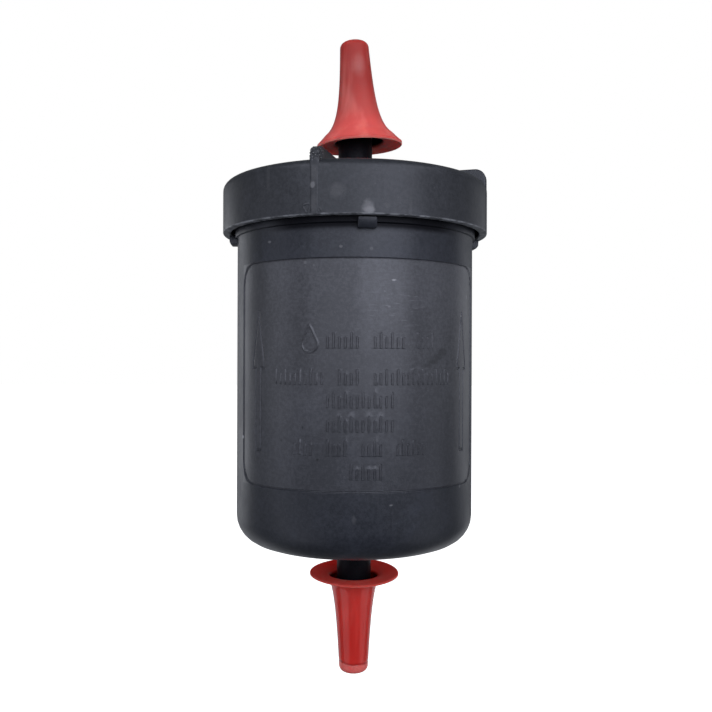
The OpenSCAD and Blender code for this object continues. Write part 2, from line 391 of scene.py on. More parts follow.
def pot_columns():
    """Headings of the pot's mesh lines: fine where the marks are, wide elsewhere."""
    spans = [(-PANEL_HALF_W, PANEL_HALF_W, PANEL_STEP)] + border_lines(PANEL_HALF_W)
    for middle, _ in ticks(range(-8, 9), 0):
        spans += edge_lines(middle - TICK_HALF_W, middle + TICK_HALF_W)
    drop_half, arrow_half = DROP_R + 0.35, ARROW_HALF_HEAD + 0.4
    spans.append((DROP_AT[0] - drop_half, DROP_AT[0] + drop_half, DROP_STEP))
    for side in (-1, 1):
        spans.append((side * ARROW_AT - arrow_half, side * ARROW_AT + arrow_half, ARROW_FINE_STEP))
    front = samples(spans, CLOSEST) * MM / BODY_R
    first, last = front[-1] + math.radians(2), 2 * math.pi + front[0] - math.radians(1)
    behind = np.arange(first, last, math.radians(3))
    return np.concatenate([front, behind])


def pot_rows():
    """Heights of the mesh lines up the panel, in millimetres."""
    spans = [(-PANEL_HALF_H, PANEL_HALF_H, PANEL_STEP)] + border_lines(PANEL_HALF_H)
    for row_z, _ in TICK_ROWS:
        spans += edge_lines(row_z + TICK_FOOT, row_z + SHORT_TOP, row_z + TICK_TOP)
    spans.append((DROP_AT[1] - 2.2, DROP_AT[1] + DROP_TIP + 0.3, 0.18))
    spans.append((ARROW_NECK, ARROW_TIP + 0.4, ARROW_STEP))
    spans += [(z - 0.3, z + 0.3, 0.1) for z in (ARROW_TIP, ARROW_NECK, ARROW_FOOT)]
    return samples(spans, CLOSEST)


def pot_relief(angle, r, z):
    """The panel's relief on the points that lie on the pot's outer wall."""
    s = (angle + math.pi) % (2 * math.pi) - math.pi
    on_wall = np.abs(r - BODY_R) < 0.01 * MM
    return np.where(on_wall, panel_relief(s * BODY_R / MM, z / MM) * MM, 0)


def make_pot():
    """The pot from its section in millimetres: spigot, boss, corner, wall, flare, collar, then the inside.
    Points without a fillet on a straight line only divide it."""
    end, low = INLET_END / MM, BOTTOM_Z / MM
    body, bore, nose, spigot = (v / MM for v in (BODY_R, BORE_R, NOSE_R, SPIGOT_R))
    inside, corner, floor = body - WALL / MM, CORNER_R / MM, low + FLOOR_T / MM
    collar, collar_low, rim = COLLAR_R / MM, COLLAR_LOW / MM, POT_RIM / MM
    boss, boss_low = 6.5, low - 1.2
    outline = [
        (bore, end, 0.25), (nose, end, 0.3), (spigot, end + 5.1, 0.8), (spigot, end + 12, 0),
        (spigot, boss_low, 0.8), (boss, boss_low, 0.35), (boss + 0.1, low, 0.4), (17, low, 0),
        (body, low, corner), *[(body, z, 0) for z in pot_rows()],
        (body, WALL_TOP / MM, 0.5), (body + 0.1, collar_low, 0.12), (collar, collar_low + 0.1, 0.12),
        (collar, rim, 0.1), (inside, rim, 0.3), (inside, 10, 0), (inside, -10, 0),
        (inside, floor, corner - WALL / MM), (6, floor, 0), (bore, floor, 0.6),
        (bore, low - 6, 0), (bore, end + 6, 0),
    ]
    profile = rounded(outline, 7)
    angles = pot_columns()
    fine = (np.abs(profile[:, 0] - body) < 0.01) & (np.abs(profile[:, 1]) < PANEL_HALF_H + 0.3)
    keep = np.unique(np.searchsorted(angles, np.arange(angles[0], angles[-1], math.radians(2.5))))
    pot = revolve("filter_pot", profile * MM, angles, pot_relief, fine_rows=fine, keep=keep)
    return unite(pot, [make_lug(i * 2 * math.pi / LUG_COUNT) for i in range(LUG_COUNT)])


def make_lug(heading):
    """A small block under the skirt, with its lower corner taken off."""
    top, low, inside, cut = LUG_TOP, LUG_TOP - LUG_H, BODY_R - 1.0 * MM, 0.6 * MM
    outline = [
        (inside, low), (LUG_OUT - cut, low), (LUG_OUT - 0.1 * MM, low + cut),
        (LUG_OUT, top), (inside, top),
    ]
    return prism("lug", outline, LUG_W, 0.2 * MM, heading)


# ---------------------------------------------------------------- lid
def fin_headings():
    return [FIN_HEADING + i * 2 * math.pi / FIN_COUNT for i in range(FIN_COUNT)]


# Loops of flash low on the skirt beside the front fin's stripe: across, up and radius, in millimetres
BURRS = [(-1.6, 1.5, 0.65), (0.35, 1.25, 0.2), (1.1, 0.95, 0.25)]
BURR_HALF_W = 0.1
STRIPE_HALF_W = 0.7
SKIRT_RELIEF = 0.09


def lid_relief(angle, r, z):
    """A faint raised stripe down the skirt under each fin, where the mould's fin slot ran on, and the
    ragged loops of flash."""
    rise = np.zeros_like(r)
    for heading in fin_headings():
        s = ((angle - heading + math.pi) % (2 * math.pi) - math.pi) * SKIRT_R / MM
        rise = np.maximum(rise, ramp(np.abs(s) - STRIPE_HALF_W, 0.25))
    s, up = (angle - FIN_HEADING) * SKIRT_R / MM, (z - SKIRT_LOW) / MM
    for ds, dz, size in BURRS:
        turn = np.arctan2(up - dz, s - ds)
        uneven = size * (1 + 0.2 * np.sin(3 * turn + 9 * size))
        ring = np.abs(np.hypot(s - ds, (up - dz) * 0.8) - uneven)
        height = 0.75 + 0.25 * np.sin(2 * turn + 5 * size)
        rise = np.maximum(rise, ramp(ring - BURR_HALF_W, 0.2) * height)
    on_skirt = (np.abs(r - SKIRT_R + 0.1 * MM) < 0.02 * MM) & (z < LID_TOP)
    return np.where(on_skirt, rise * SKIRT_RELIEF * MM, 0)


def lid_columns():
    """Headings of the lid's mesh lines, in degrees: fine at each fin's stripe and at the loops of flash."""
    fine, front = 0.2, math.degrees(FIN_HEADING)
    spans = [(-180, 177.9, 2.0)]
    for heading in fin_headings():
        centre = (math.degrees(heading) + 180) % 360 - 180
        spans.append((centre - 2.0, centre + 2.0, fine))
    spans.append((front - 5, front + 3.5, fine))
    return samples(spans, 0.12)


def make_lid():
    """The lid from its section in millimetres: the stub with its seal groove, the tongue in the pot, the
    skirt, the dished top, the hub, and the outlet spigot."""
    body, top, low, end = BODY_R / MM, LID_TOP / MM, SKIRT_LOW / MM, OUTLET_END / MM
    skirt, gap, weld = SKIRT_R / MM - 0.1, COLLAR_R / MM + 0.9, POT_RIM / MM + 1.0
    tongue_out, bore, nose, spigot = body - WALL / MM - 0.3, BORE_R / MM, NOSE_R / MM, SPIGOT_R / MM
    tongue_in, tongue_low = tongue_out - 1.5, weld - 3.5
    dish = top - 1.3
    plate_low = dish - 2.8
    stub, stub_low = 6.5, 32.6
    groove, groove_low, groove_high = 5.0, 34.2, 36.2
    hub, fin_top = 7.5, FIN_TOP / MM
    outline = [
        (bore, stub_low, 0.2), (stub, stub_low, 0.5), (stub, groove_low, 0.1), (groove, groove_low, 0.2),
        (groove, groove_high, 0.2), (stub, groove_high, 0.1), (stub, plate_low, 0.4),
        (tongue_in, plate_low, 0.4), (tongue_in, tongue_low, 0.2), (tongue_out, tongue_low, 0.6),
        (tongue_out, weld, 0.1), (gap, weld, 0.3), (gap, low, 0.35), (skirt, low, 0.25),
        *[(skirt, z, 0) for z in np.arange(low + 0.5, low + 2.7, 0.1)], (skirt, top - 4, 0),
        (skirt, top, 1.9), (26.3, top, 0.3), (25.5, dish, 0.3), (16, dish, 0), (hub, dish, 0.5),
        (hub, fin_top, 0.5), (5, fin_top, 0.2), (spigot, fin_top + 1, 0.4), (spigot, end - 6, 1.2),
        (nose, end, 0.3), (bore, end, 0.25), (bore, end - 6, 0), (bore, 45, 0),
    ]
    columns = np.radians(lid_columns())
    lid = revolve("filter_lid", rounded(outline, 7) * MM, columns, lid_relief)
    return unite(lid, [make_fin(i, h) for i, h in enumerate(fin_headings())])


def make_fin(index, heading):
    """A drive fin with a round outer corner. The first one is chewed at its outer end by the welding head."""
    worn = index == 0
    inner, out, base = 6.6 * MM, SKIRT_R - 0.08 * MM, LID_TOP - 2.2 * MM
    corner, steps = (2.8 if worn else 2.5) * MM, 8
    arc = [(out - corner + corner * math.cos(t), FIN_TOP - corner + corner * math.sin(t))
           for t in (QUARTER * k / steps for k in range(steps + 1))]
    outline = [
        (inner, base), (out - 3 * MM, base), (out, LID_TOP - 2.4 * MM), *arc, (inner, FIN_TOP - 0.1 * MM),
    ]

    def chew(p):
        reach = max(0.0, min(1.0, (p.x - out + 2.6 * MM) / (1.4 * MM)))
        raised = max(0.0, min(1.0, (p.z - LID_TOP + 1.0 * MM) / (1.5 * MM)))
        return noise.noise_vector(p / (0.4 * MM)) * (0.28 * MM * reach * raised)

    damage = {"cuts": 4, "roughen": chew} if worn else {}
    return prism(f"fin_{index}", outline, FIN_T, 0.28 * MM, heading, **damage)


# ---------------------------------------------------------------- transport caps, in millimetres
INLET_CAP_LEN = 23.1
OUTLET_CAP_LEN = 24.1
# Outer radius: the throat's, less the taper, plus the flare towards the mouth
CAP_FLARE = 6.25
CAP_THROAT_R = 4.55
CAP_TAPER = 0.052
CAP_WALL = 0.6
CAP_MOUTH_R = 5.6
MOUTH_TAPER = 0.14
CAP_TIP_R = 1.4
CAP_TIP_T = 1.0
MOUTH_ROUND = 1.0
FLANGE_START_R = 6.0
FLANGE_W = 4.8
# The outlet cap's mouth and the point it leans about, above the lid's top, and its step to one side
OUTLET_CAP_GAP = 10.5
LEAN_PIVOT = 17.3
LEAN_OFFSET = 0.6
# Thickness of the flange's lip, and the share and reach of each part of the flare
TRUMPET = (0.9, [(0.62, 4.7), (0.34, 1.1)])
FLAT_FLANGE = (0.4, [(0.25, 5.2), (0.75, 0.4)])


def cap_radius(s, flare):
    """Outer radius at a distance s from the mouth."""
    lip, parts = flare
    up = np.maximum(0, s - lip)
    return CAP_THROAT_R - CAP_TAPER * s + CAP_FLARE * sum(part * np.exp(-up / reach) for part, reach in parts)


def cap_bore(s, flare):
    """Inner radius at a distance s from the mouth."""
    return np.minimum(cap_radius(s, flare) - CAP_WALL, CAP_MOUTH_R - MOUTH_TAPER * s)


def cap_profile(length, flare):
    """Open profile from the outside of the tip, round the flange and its mouth, to the inside of the tip.
    Its rows crowd towards the flange, where the flare curves, and near the tip, for the crease."""
    straight = length - CAP_TIP_R
    s = flare[0] + (straight - flare[0]) * np.linspace(1, 0, 46) ** 1.8
    s = np.unique(np.concatenate([s, np.arange(length - 3.4, straight - 0.05, 0.12)]))[::-1]
    tip = cap_radius(straight, flare) - CAP_TIP_R
    turn = np.radians(np.linspace(90, 12, 8))
    outer_tip = np.stack([tip + CAP_TIP_R * np.cos(turn), straight + CAP_TIP_R * np.sin(turn)], -1)
    crown = [(0, length - 0.12), (tip * 0.5, length - 0.06)]
    outer = np.stack([cap_radius(s, flare), s], -1)
    edge = flare[0] / 2
    turn = np.radians([40, 15, -15, -40, -65, -90])
    lip = [(outer[-1, 0] - edge + edge * math.cos(t), edge + edge * math.sin(t)) for t in turn]
    under = [(r, 0) for r in np.linspace(outer[-1, 0] - 1.0, CAP_MOUTH_R + MOUTH_ROUND + 0.4, 7)]
    turn = np.radians([90, 72, 54, 36, 18, 0])
    mouth = [(CAP_MOUTH_R + MOUTH_ROUND * (1 - math.cos(t)), MOUTH_ROUND * (1 - math.sin(t))) for t in turn]
    s_in = np.concatenate([[1.3, 1.7], s[::-1][(s[::-1] > 2.0) & (s[::-1] < length - 1.8)]])
    inner = np.stack([cap_bore(s_in, flare), s_in], -1)
    floor = length - CAP_TIP_T
    inner_tip = [(inner[-1, 0] - 0.1, floor - 0.3), (inner[-1, 0] - 0.5, floor), (0, floor)]
    return np.concatenate([crown, outer_tip, outer, lip, under, mouth, inner, inner_tip]) * MM


def wave(angle, phase, harmonics=(1, 2, 3)):
    """A smooth uneven curve round the cap, between about -1 and 1."""
    return sum(np.sin(k * angle + phase * (1.7 + k)) / k for k in harmonics) / 1.6


def crease_height(angle, length):
    """Where the pinched ring near the tip runs, at each heading round the cap."""
    return length - 2.5 + 0.3 * wave(angle, 2.3, (1, 2, 5))


def make_cap(name, length, flare, crease):
    """A soft cap in its own frame: mouth at z = 0, tip up, with the small dents of a thin moulding."""
    def soften(angle, r, z):
        s = z / MM
        flange = np.clip((r / MM - FLANGE_START_R) / FLANGE_W, 0, 1) ** 2
        oval = 0.05 * np.cos(2 * angle + 0.6) * np.clip(1 - s / length, 0, 1)
        dent = np.zeros_like(r)
        if crease:
            off = (s - crease_height(angle, length)) / 0.22
            depth = 0.16 * (0.75 + 0.35 * wave(angle, 5.1, (2, 3, 7)))
            outside = r / MM > cap_radius(s, flare) - 0.25
            dent = np.where(outside, -depth * np.exp(-(off ** 2)), 0)
        uneven_edge = 0.25 * flange * (0.5 + 0.5 * wave(angle, 1.1))
        return (oval * (1 - flange) - uneven_edge + dent) * MM

    angles = np.radians(np.arange(0, 360, 2.5))
    cap = revolve(name, cap_profile(length, flare), angles, soften, closed=False, sharp_deg=60)
    mark_zones(cap.data, length, flare, crease)
    return cap


def mark_zones(mesh, length, flare, crease):
    """Point attributes that the cap's material reads: inside the bore, where shade is painted, the flange's
    underside, how far along the cap, and the creased ring with the tip past it, where a reflection is painted."""
    points = np.array([v.co[:] for v in mesh.vertices]) / MM
    r, s = np.hypot(points[:, 0], points[:, 1]), points[:, 2]
    in_bore = r < np.minimum(cap_radius(s, flare) - 0.3, CAP_MOUTH_R + MOUTH_ROUND)
    inner = in_bore & (s > 0.05) & (s < length - 0.8 * CAP_TIP_T)
    under = (s < 0.2) | inner
    past = s - crease_height(np.arctan2(points[:, 0], -points[:, 1]), length)
    zones = {
        "shaded_bore": np.where(inner, np.clip((s - 0.15) / 0.7, 0, 1), 0),
        "under": np.where(under, 1, 0),
        "along": s / length,
        "reflecting_tip": np.where(under, 0, np.clip(past / 0.25, 0, 1)) * crease,
        "crease": np.where(under, 0, np.exp(-((past / 0.28) ** 2))) * crease,
    }
    for zone, values in zones.items():
        layer = mesh.attributes.new(zone, "FLOAT", "POINT")
        layer.data.foreach_set("value", values.astype(np.float32))


def bend_flange(obj, wave_mm, phase, front_mm, back_mm, lip_mm):
    """The thin flange isn't flat, in the cap's own frame: its edge waves as it goes round, its front bends
    away from the tip and its back towards it, and its lip turns away from the tip and inwards."""
    for v in obj.data.vertices:
        r, angle = math.hypot(v.co.x, v.co.y) / MM, math.atan2(v.co.x, -v.co.y)
        edge = max(0.0, min(1.0, (r - 5.5) / 5.3))
        lip = max(0.0, min(1.0, (r - 8.2) / 2.4))
        waves = math.sin(2 * angle + phase) + 0.5 * math.sin(3 * angle + 2 * phase) + 1.5
        front, back = max(0.0, math.cos(angle)), max(0.0, -math.cos(angle))
        bent = back_mm * back - front_mm * front ** 0.8
        v.co.z += (wave_mm * waves * edge ** 1.5 + bent * edge - lip_mm * lip) * MM
        v.co.xy *= 1 - 0.04 * lip_mm * lip
    obj.data.update()


def place_inlet_cap(cap):
    """Upside down, with its mouth where the CAD cap has it."""
    cap.data.transform(Matrix.Translation((0, 0, inlet_high.z)) @ Matrix.Diagonal((1, 1, -1, 1)))
    cap.data.flip_normals()


def place_outlet_cap(cap):
    """Along the joint's axis, leaning about a point on the filter's axis, as the CAD cap does."""
    axis = Vector(joints["outlet_cap_pull"]["axis"]).normalized()
    pivot = Vector((0, 0, LID_TOP + LEAN_PIVOT * MM))
    sideways = Vector((axis.x, axis.y, 0)).normalized() * (-LEAN_OFFSET * MM)
    mouth = pivot + sideways - axis * (LEAN_PIVOT - OUTLET_CAP_GAP) * MM
    turn = Vector((0, 0, 1)).rotation_difference(axis).to_matrix().to_4x4()
    cap.data.transform(Matrix.Translation(mouth) @ turn)


# ---------------------------------------------------------------- materials
class Nodes:
    """A short way to write a node material."""

    def __init__(self, name):
        self.material = bpy.data.materials.new(name)
        self.material.use_nodes = True
        self.tree = self.material.node_tree
        self.tree.nodes.clear()
        self.shader = self.add("ShaderNodeBsdfPrincipled")
        out = self.add("ShaderNodeOutputMaterial")
        self.link(self.shader.outputs[0], out.inputs[0])
        self.place = self.add("ShaderNodeTexCoord").outputs["Object"]

    def add(self, kind, **settings):
        node = self.tree.nodes.new(kind)
        for key, value in settings.items():
            setattr(node, key, value)
        return node

    def link(self, a, b):
        self.tree.links.new(a, b)

    def put(self, socket, value):
        if isinstance(value, bpy.types.NodeSocket):
            self.link(value, socket)
        else:
            socket.default_value = value

    def scaled(self, scale):
        node = self.add("ShaderNodeMapping")
        self.link(self.place, node.inputs["Vector"])
        node.inputs["Scale"].default_value = scale
        return node.outputs[0]

    def noise(self, scale, detail=3.0, rough=0.55, stretch=(1, 1, 1), distort=0.0):
        node = self.add("ShaderNodeTexNoise")
        self.link(self.scaled(stretch), node.inputs["Vector"])
        settings = {"Scale": scale, "Detail": detail, "Roughness": rough, "Distortion": distort}
        for key, value in settings.items():
            node.inputs[key].default_value = value
        return node.outputs["Fac"]

    def spots(self, scale):
        node = self.add("ShaderNodeTexVoronoi")
        self.link(self.place, node.inputs["Vector"])
        node.inputs["Scale"].default_value = scale
        return node.outputs["Distance"]

    def band(self, value, low, high, to_low=0.0, to_high=1.0):
        """A smooth step of value, from to_low at low to to_high at high."""
        node = self.add("ShaderNodeMapRange", interpolation_type="SMOOTHSTEP")
        settings = {"Value": value, "From Min": low, "From Max": high, "To Min": to_low, "To Max": to_high}
        for key, v in settings.items():
            self.put(node.inputs[key], v)
        return node.outputs["Result"]

    def math(self, operation, a, b=0.0, c=0.0):
        node = self.add("ShaderNodeMath", operation=operation)
        for socket, v in zip(node.inputs, (a, b, c)):
            self.put(socket, v)
        return node.outputs[0]

    def mix(self, fac, a, b):
        node = self.add("ShaderNodeMix", data_type="RGBA")
        self.put(node.inputs["Factor"], fac)
        colours = [s for s in node.inputs if s.type == "RGBA"]
        for socket, v in zip(colours, (a, b)):
            self.put(socket, v if isinstance(v, bpy.types.NodeSocket) else (*v, 1.0))
        return next(s for s in node.outputs if s.type == "RGBA")

    def near(self, centre, size, stretch=(1, 1, 1), edge=0.6, ragged=0.5):
        """1 close to a point, fading to 0 with a ragged edge."""
        offset = self.add("ShaderNodeVectorMath", operation="SUBTRACT")
        self.link(self.place, offset.inputs[0])
        offset.inputs[1].default_value = centre
        scale = self.add("ShaderNodeVectorMath", operation="MULTIPLY")
        self.link(offset.outputs[0], scale.inputs[0])
        scale.inputs[1].default_value = [1 / (size * k) for k in stretch]
        length = self.add("ShaderNodeVectorMath", operation="LENGTH")
        self.link(scale.outputs[0], length.inputs[0])
        rough = self.math("MULTIPLY_ADD", self.noise(1.1 / size, 4.0, 0.7), ragged * 2, -ragged)
        return self.band(self.math("ADD", length.outputs["Value"], rough), 1.0 - edge, 1.0, 1.0, 0.0)

    def axis(self, letter):
        axes = self.add("ShaderNodeSeparateXYZ")
        self.link(self.place, axes.inputs[0])
        return axes.outputs[letter]

    def radius(self):
        """Distance from the filter's axis."""
        across = self.add("ShaderNodeVectorMath", operation="LENGTH")
        self.link(self.scaled((1, 1, 0)), across.inputs[0])
        return across.outputs["Value"]

    def bump(self, height, distance, strength=1.0, below=None):
        node = self.add("ShaderNodeBump")
        self.put(node.inputs["Height"], height)
        node.inputs["Distance"].default_value = distance
        node.inputs["Strength"].default_value = strength
        if below is not None:
            self.link(below, node.inputs["Normal"])
        return node.outputs[0]

    def set(self, **values):
        for key, value in values.items():
            self.put(self.shader.inputs[key.replace("_", " ")], value)


def moulded_black(name, dark, light, radius, marks, seed, panel=False, highlight_edge_z=None, grit=None, shine=1.0):
    """Black glass-filled polyamide: fine grain, soft flow marks, dust, scratches, and scuffed or stained
    marks. The pot has its panel, and the lid a ragged painted highlight along its lower edge and grit torn up at
    one spot."""
    m = Nodes(name)
    flow = m.noise(55, 4.0, 0.6, (1, 1, 0.45), 0.4)
    patch = m.noise(130 + seed, 5.0, 0.65)
    grain = m.noise(3200, 2.0, 0.6)
    mottle = m.noise(1300, 3.0, 0.75)
    tone = m.math("MULTIPLY_ADD", m.band(mottle, 0.35, 0.65), 0.5, m.band(flow, 0.35, 0.7, -0.3, 0.6))
    colour = m.mix(tone, dark, light)
    rubbing_and_top_light = m.math("MULTIPLY", m.band(patch, 0.52, 0.72), 0.35)
    colour = m.mix(rubbing_and_top_light, colour, tuple(1.9 * c for c in light))
    colour = dusty(m, colour)
    rough = m.band(patch, 0.3, 0.75, 0.37, 0.46)
    rough = m.math("ADD", rough, m.band(mottle, 0.3, 0.7, -0.03, 0.03))
    if panel:
        inside = panel_mask(m)
        colour = panel_tone_and_top_light(m, colour, tone, inside, radius)
        rough = m.math("SUBTRACT", rough, m.math("MULTIPLY", inside, 0.05))
    colour, worn = marked(m, colour, marks, radius)
    rough = m.math("ADD", rough, m.math("MULTIPLY", worn, 0.15))
    # Painted shade: the spigots, shaded by the caps, and the shaded front wall under the skirt are painted almost
    # black, and don't shine
    painted_shade = m.band(m.radius(), SPIGOT_R + 2.9 * MM, SPIGOT_R + 3.3 * MM, 1.0, 0.0)
    if panel:
        painted_shade = m.math("MAXIMUM", painted_shade, under_skirt(m))
    if highlight_edge_z is not None:
        # Painted highlight: a pale ragged band along the skirt's lower edge, where the edge catches the light
        edge = m.band(m.axis("Z"), highlight_edge_z, highlight_edge_z + 0.4 * MM, 1.0, 0.0)
        edge = m.math("MULTIPLY", edge, m.band(m.noise(500, 3.0), 0.35, 0.65, 0.2, 1.0))
        colour = m.mix(edge, colour, (0.24, 0.25, 0.28))
    # Painted shade: the colour goes almost black on the spigots and under the skirt
    colour = m.mix(m.math("MULTIPLY", painted_shade, 0.9), colour, (0.003, 0.003, 0.005))
    fine = m.bump(mottle, 0.03 * MM, 0.7, m.bump(grain, 0.02 * MM, 0.5))
    if grit is not None:
        torn = m.near(grit, 3.2 * MM, (1, 1, 1), 0.5, 0.4)
        crumbs = m.math("MULTIPLY", torn, m.band(m.spots(1900), 0.1, 0.28, 1.0, 0.0))
        colour = m.mix(m.math("MULTIPLY", torn, 0.3), colour, (0.05, 0.05, 0.055))
        colour = m.mix(m.math("MULTIPLY", crumbs, 0.7), colour, (0.5, 0.5, 0.54))
        fine = m.bump(crumbs, 0.12 * MM, 0.8, fine)
    sheen = m.band(mottle, 0.3, 0.7, 0.43 * shine, 0.55 * shine)
    sheen = m.math("MULTIPLY", sheen, m.math("MULTIPLY_ADD", painted_shade, -0.8, 1.0))
    m.set(Base_Color=colour, Roughness=rough, Normal=m.bump(patch, 0.05 * MM, 0.5, fine), IOR=1.5)
    m.set(Specular_IOR_Level=sheen, Specular_Tint=(0.86, 0.885, 1.0, 1.0))
    return m.material


def dusty(m, colour):
    """Grey dust specks that gather here and there, and fine upright scratches."""
    specks = m.band(m.spots(900), 0.06, 0.1, 1.0, 0.0)
    dust = m.math("MULTIPLY", specks, m.band(m.noise(260, 2.0), 0.56, 0.62))
    colour = m.mix(m.math("MULTIPLY", dust, 0.25), colour, (0.16, 0.16, 0.17))
    scratch = m.band(m.noise(420, 2.0, 0.5, (1, 1, 0.05), 0.15), 0.655, 0.69)
    scratch = m.math("MULTIPLY", scratch, m.band(m.noise(40, 2.0), 0.5, 0.62))
    return m.mix(m.math("MULTIPLY", scratch, 0.15), colour, (0.11, 0.11, 0.12))


def panel_tone_and_top_light(m, colour, tone, inside, radius):
    """The panel is paler than the wall, with level hair scratches; painted light makes it paler still high up, and
    a painted highlight high on its right brings the scratches out.
    """
    matt = m.mix(tone, (0.037, 0.0375, 0.044), (0.062, 0.063, 0.074))
    hair = m.band(m.noise(260, 3.0, 0.7, (1, 1, 9)), 0.55, 0.75)
    # Painted highlight: the hair scratches show most at a spot high on the panel's right
    upper = m.near(around(math.radians(12), radius, 15 * MM), 9 * MM, (1, 1, 0.9), 0.9, 0.4)
    amount = m.math("MULTIPLY", hair, m.math("MULTIPLY_ADD", upper, 0.55, 0.12))
    matt = m.mix(amount, matt, (0.16, 0.16, 0.18))
    # Painted light: the panel is painted paler towards its top, as if lit from above
    rubbing_and_top_light = m.band(m.axis("Z"), -24 * MM, 8 * MM, 0.45, 0.95)
    return m.mix(m.math("MULTIPLY", inside, rubbing_and_top_light), colour, matt)


def marked(m, colour, marks, radius):
    """The colour with its marks, and how strong they are."""
    worn = 0.0
    for heading, height, size, stretch, tone, amount in marks:
        centre = around(math.radians(heading), radius, height * MM)
        spot = m.math("MULTIPLY", m.near(centre, size * MM, stretch), amount)
        colour = m.mix(spot, colour, (tone, tone, 1.1 * tone))
        worn = m.math("MAXIMUM", spot, worn)
    return colour, worn


def under_skirt(m):
    """1 on the front of the pot's wall just under the lid's skirt, where little light gets in."""
    near_skirt = m.band(m.axis("Z"), SKIRT_LOW - 2.7 * MM, SKIRT_LOW - 1.6 * MM)
    front = m.band(m.axis("Y"), -0.85 * BODY_R, -0.65 * BODY_R, 1.0, 0.0)
    on_wall = m.band(m.radius(), COLLAR_R + 0.1 * MM, COLLAR_R + 0.2 * MM, 1.0, 0.0)
    return m.math("MULTIPLY", near_skirt, m.math("MULTIPLY", front, on_wall))


def panel_mask(m):
    """1 inside the marking panel's rectangle on the pot's front, from the object's own coordinates."""
    angle = m.math("ARCTAN2", m.axis("X"), m.math("MULTIPLY", m.axis("Y"), -1.0))
    across = m.math("ABSOLUTE", m.math("MULTIPLY", angle, BODY_R))
    up = m.math("ABSOLUTE", m.axis("Z"))
    half_w, half_h, soft = PANEL_HALF_W * MM, PANEL_HALF_H * MM, 0.1 * MM
    in_width = m.band(across, half_w - soft, half_w + soft, 1.0, 0.0)
    return m.math("MULTIPLY", in_width, m.band(up, half_h - soft, half_h + soft, 1.0, 0.0))


def cap_red(name, tip, mouth, glow, rough, gloss, highlight_at=None):
    """Soft red polyethylene, a little cloudy. Painted light makes it paler towards the flange, and a painted
    glow brightens the flange's underside, which has no gloss; painted shade darkens the bore, the crease and the
    outline, and a painted reflection pales the rough tip past the crease.
    The last argument is the middle of a painted highlight."""
    m = Nodes(name)
    zone = {}
    for key in ("shaded_bore", "under", "along", "reflecting_tip", "crease"):
        zone[key] = m.add("ShaderNodeAttribute", attribute_name=key).outputs["Fac"]
    cloud = m.noise(160, 3.0, 0.5)
    streak = m.noise(240, 3.0, 0.5, (1, 1, 0.12))
    fine = m.noise(1500, 3.0, 0.6)
    # Painted light: paler towards the flange, as if light shone through the thin flange
    colour = m.mix(m.band(zone["along"], 0.7, 0.0), tip, mouth)
    colour = m.mix(m.math("MULTIPLY", m.band(streak, 0.5, 0.75), 0.35), colour, glow)
    colour = m.mix(m.math("MULTIPLY", m.band(cloud, 0.45, 0.75), 0.2), colour, tip)
    # Painted shade: darker towards the cap's outline as seen
    facing = m.band(m.add("ShaderNodeLayerWeight").outputs["Facing"], 0.65, 1.0)
    rim = m.math("MULTIPLY", facing, m.math("SUBTRACT", 1.0, zone["under"]))
    colour = m.mix(m.math("MULTIPLY", rim, 0.5), colour, (0.22, 0.05, 0.045))
    # Painted glow: the flange's underside is painted bright, as if lit through the thin flange
    colour = m.mix(m.math("MULTIPLY", zone["under"], 0.9), colour, glow)
    # Painted reflection: past the crease the tip is painted paler, with a rougher grain
    tip_reflection = m.math("MULTIPLY", zone["reflecting_tip"], m.band(fine, 0.3, 0.7, 0.4, 0.65))
    colour = m.mix(tip_reflection, colour, (0.8, 0.22, 0.2))
    # Painted shade: the pinched crease is painted dark
    colour = m.mix(m.math("MULTIPLY", zone["crease"], 0.7), colour, (0.3, 0.012, 0.01))
    roughness = m.band(m.noise(45, 2.0), 0.3, 0.7, rough, rough + 0.05)
    roughness = m.math("ADD", roughness, m.math("MULTIPLY", tip_reflection, 0.3))
    if highlight_at is not None:
        # Painted highlight: a soft pale greyish spot near the tip
        painted_highlight = m.near(highlight_at, 4.6 * MM, (0.85, 1, 1), 0.8, 0.15)
        colour = m.mix(m.math("MULTIPLY", painted_highlight, 0.5), colour, (0.72, 0.34, 0.32))
    # Painted shade: the inside of the bore is painted almost black
    colour = m.mix(zone["shaded_bore"], colour, (0.02, 0.001, 0.001))
    roughness = m.math("MAXIMUM", roughness, m.math("MULTIPLY", zone["shaded_bore"], 0.8))
    m.set(Base_Color=colour, Roughness=roughness, IOR=1.51)
    matt = m.math("MAXIMUM", zone["shaded_bore"], zone["under"])
    m.set(Specular_IOR_Level=m.math("MULTIPLY_ADD", matt, -gloss, gloss))
    m.set(Normal=m.bump(fine, 0.008 * MM, 0.5, m.bump(streak, 0.03 * MM, 0.3)))
    m.set(Subsurface_Weight=0.9, Subsurface_Scale=3.5 * MM, Subsurface_Radius=(1.0, 0.25, 0.2))
    return m.material


def simple(name, low, high, scale, rough, bump_mm, stretch=(1, 1, 1), metal=0.0):
    """An inner part's material: two tones through a noise, with matching roughness and bump."""
    m = Nodes(name)
    tone = m.noise(scale, 4.0, 0.6, stretch)
    m.set(Base_Color=m.mix(m.band(tone, 0.35, 0.65), low, high))
    m.set(Roughness=m.band(tone, 0.3, 0.7, rough * 0.85, rough * 1.15))
    m.set(Metallic=metal, Normal=m.bump(tone, bump_mm * MM, 0.6))
    return m.material


def dress(obj, material):
    obj.data.materials.clear()
    obj.data.materials.append(material)


def replace_node(piece, material, node, body):
    """Puts a finished piece in the place of a CAD node."""
    dress(piece, material)
    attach(piece, body)
    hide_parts(node)


